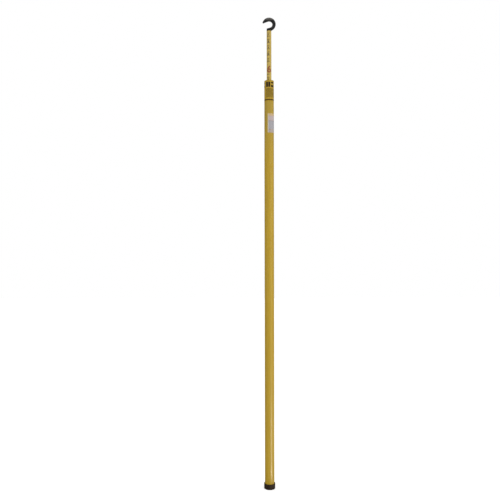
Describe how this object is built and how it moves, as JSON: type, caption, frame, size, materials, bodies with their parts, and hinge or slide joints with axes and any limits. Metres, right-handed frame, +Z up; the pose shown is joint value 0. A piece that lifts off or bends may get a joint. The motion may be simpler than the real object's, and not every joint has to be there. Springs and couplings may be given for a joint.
{
  "type": "telescoping measuring stick",
  "caption": "Slim round telescoping pole with nested tubes, a rubber boot, button locks and a hook on its tip, for measuring heights from the ground.",
  "frame": {"origin": "on the ground under the middle of the boot", "axes": "+Z up along the stick, -Y the side with the graduations, -X the side that the hook opens to"},
  "size_m": [0.0531, 0.0452, 1.8947],
  "materials": {
    "yellow_fibreglass": "satin",
    "pale_fibreglass": "satin",
    "boot_rubber": "matte",
    "hook_nylon": "gloss",
    "plug_nylon": "matte",
    "lock_steel": "satin"
  },
  "bodies": {
    "base": {"boot": "boot_rubber", "base_tube": "yellow_fibreglass", "base_plug": "plug_nylon"},
    "section_1": {"section_tube_1": "yellow_fibreglass", "bottom_plug_1": "plug_nylon", "button_spring_1": "lock_steel"},
    "section_2": {"section_tube_2": "yellow_fibreglass", "bottom_plug_2": "plug_nylon", "button_spring_2": "lock_steel"},
    "section_3": {"section_tube_3": "yellow_fibreglass", "bottom_plug_3": "plug_nylon", "button_spring_3": "lock_steel"},
    "section_4": {"section_tube_4": "yellow_fibreglass", "bottom_plug_4": "plug_nylon", "button_spring_4": "lock_steel"},
    "section_5": {"section_tube_5": "yellow_fibreglass", "bottom_plug_5": "plug_nylon", "button_spring_5": "lock_steel"},
    "section_6": {"section_tube_6": "yellow_fibreglass", "bottom_plug_6": "plug_nylon", "button_spring_6": "lock_steel"},
    "section_7": {"section_tube_7": "yellow_fibreglass", "bottom_plug_7": "plug_nylon", "button_spring_7": "lock_steel"},
    "section_8": {"section_tube_8": "yellow_fibreglass", "bottom_plug_8": "plug_nylon", "button_spring_8": "lock_steel"},
    "tip_section": {"tip_tube": "pale_fibreglass", "bottom_plug_9": "plug_nylon", "button_spring_9": "lock_steel", "hook": "hook_nylon", "hook_pin": "lock_steel"},
    "button_1": {"lock_button_1": "lock_steel"},
    "button_2": {"lock_button_2": "lock_steel"},
    "button_3": {"lock_button_3": "lock_steel"},
    "button_4": {"lock_button_4": "lock_steel"},
    "button_5": {"lock_button_5": "lock_steel"},
    "button_6": {"lock_button_6": "lock_steel"},
    "button_7": {"lock_button_7": "lock_steel"},
    "button_8": {"lock_button_8": "lock_steel"},
    "button_9": {"lock_button_9": "lock_steel"}
  },
  "joints": [
    {"name": "section_1_slide", "type": "slide", "parent": "base", "child": "section_1", "axis": [0, 0, 1], "range_m": [0, 1.5314]},
    {"name": "section_2_slide", "type": "slide", "parent": "section_1", "child": "section_2", "axis": [0, 0, 1], "range_m": [0, 1.5197]},
    {"name": "section_3_slide", "type": "slide", "parent": "section_2", "child": "section_3", "axis": [0, 0, 1], "range_m": [0, 1.508]},
    {"name": "section_4_slide", "type": "slide", "parent": "section_3", "child": "section_4", "axis": [0, 0, 1], "range_m": [0, 1.4963]},
    {"name": "section_5_slide", "type": "slide", "parent": "section_4", "child": "section_5", "axis": [0, 0, 1], "range_m": [0, 1.4846]},
    {"name": "section_6_slide", "type": "slide", "parent": "section_5", "child": "section_6", "axis": [0, 0, 1], "range_m": [0, 1.4729]},
    {"name": "section_7_slide", "type": "slide", "parent": "section_6", "child": "section_7", "axis": [0, 0, 1], "range_m": [0, 1.4612]},
    {"name": "section_8_slide", "type": "slide", "parent": "section_7", "child": "section_8", "axis": [0, 0, 1], "range_m": [0, 1.4495]},
    {"name": "tip_slide", "type": "slide", "parent": "section_8", "child": "tip_section", "axis": [0, 0, 1], "range_m": [0, 1.4378]},
    {"name": "button_1_travel", "type": "slide", "parent": "section_1", "child": "button_1", "axis": [0, 1, 0], "range_m": [0, 0.00106], "stiffness_N_per_m": 150, "springref_m": 0.006, "deforming": ["button_spring_1"]},
    {"name": "button_2_travel", "type": "slide", "parent": "section_2", "child": "button_2", "axis": [0, 1, 0], "range_m": [0, 0.00106], "stiffness_N_per_m": 150, "springref_m": 0.006, "deforming": ["button_spring_2"]},
    {"name": "button_3_travel", "type": "slide", "parent": "section_3", "child": "button_3", "axis": [0, 1, 0], "range_m": [0, 0.00106], "stiffness_N_per_m": 150, "springref_m": 0.006, "deforming": ["button_spring_3"]},
    {"name": "button_4_travel", "type": "slide", "parent": "section_4", "child": "button_4", "axis": [0, 1, 0], "range_m": [0, 0.00106], "stiffness_N_per_m": 150, "springref_m": 0.006, "deforming": ["button_spring_4"]},
    {"name": "button_5_travel", "type": "slide", "parent": "section_5", "child": "button_5", "axis": [0, 1, 0], "range_m": [0, 0.00106], "stiffness_N_per_m": 150, "springref_m": 0.006, "deforming": ["button_spring_5"]},
    {"name": "button_6_travel", "type": "slide", "parent": "section_6", "child": "button_6", "axis": [0, 1, 0], "range_m": [0, 0.00106], "stiffness_N_per_m": 150, "springref_m": 0.006, "deforming": ["button_spring_6"]},
    {"name": "button_7_travel", "type": "slide", "parent": "section_7", "child": "button_7", "axis": [0, 1, 0], "range_m": [0, 0.00106], "stiffness_N_per_m": 150, "springref_m": 0.006, "deforming": ["button_spring_7"]},
    {"name": "button_8_travel", "type": "slide", "parent": "section_8", "child": "button_8", "axis": [0, 1, 0], "range_m": [0, 0.00106], "stiffness_N_per_m": 150, "springref_m": 0.006, "deforming": ["button_spring_8"]},
    {"name": "button_9_travel", "type": "slide", "parent": "tip_section", "child": "button_9", "axis": [0, 1, 0], "range_m": [0, 0.00106], "stiffness_N_per_m": 150, "springref_m": 0.006, "deforming": ["button_spring_9"]}
  ]
}
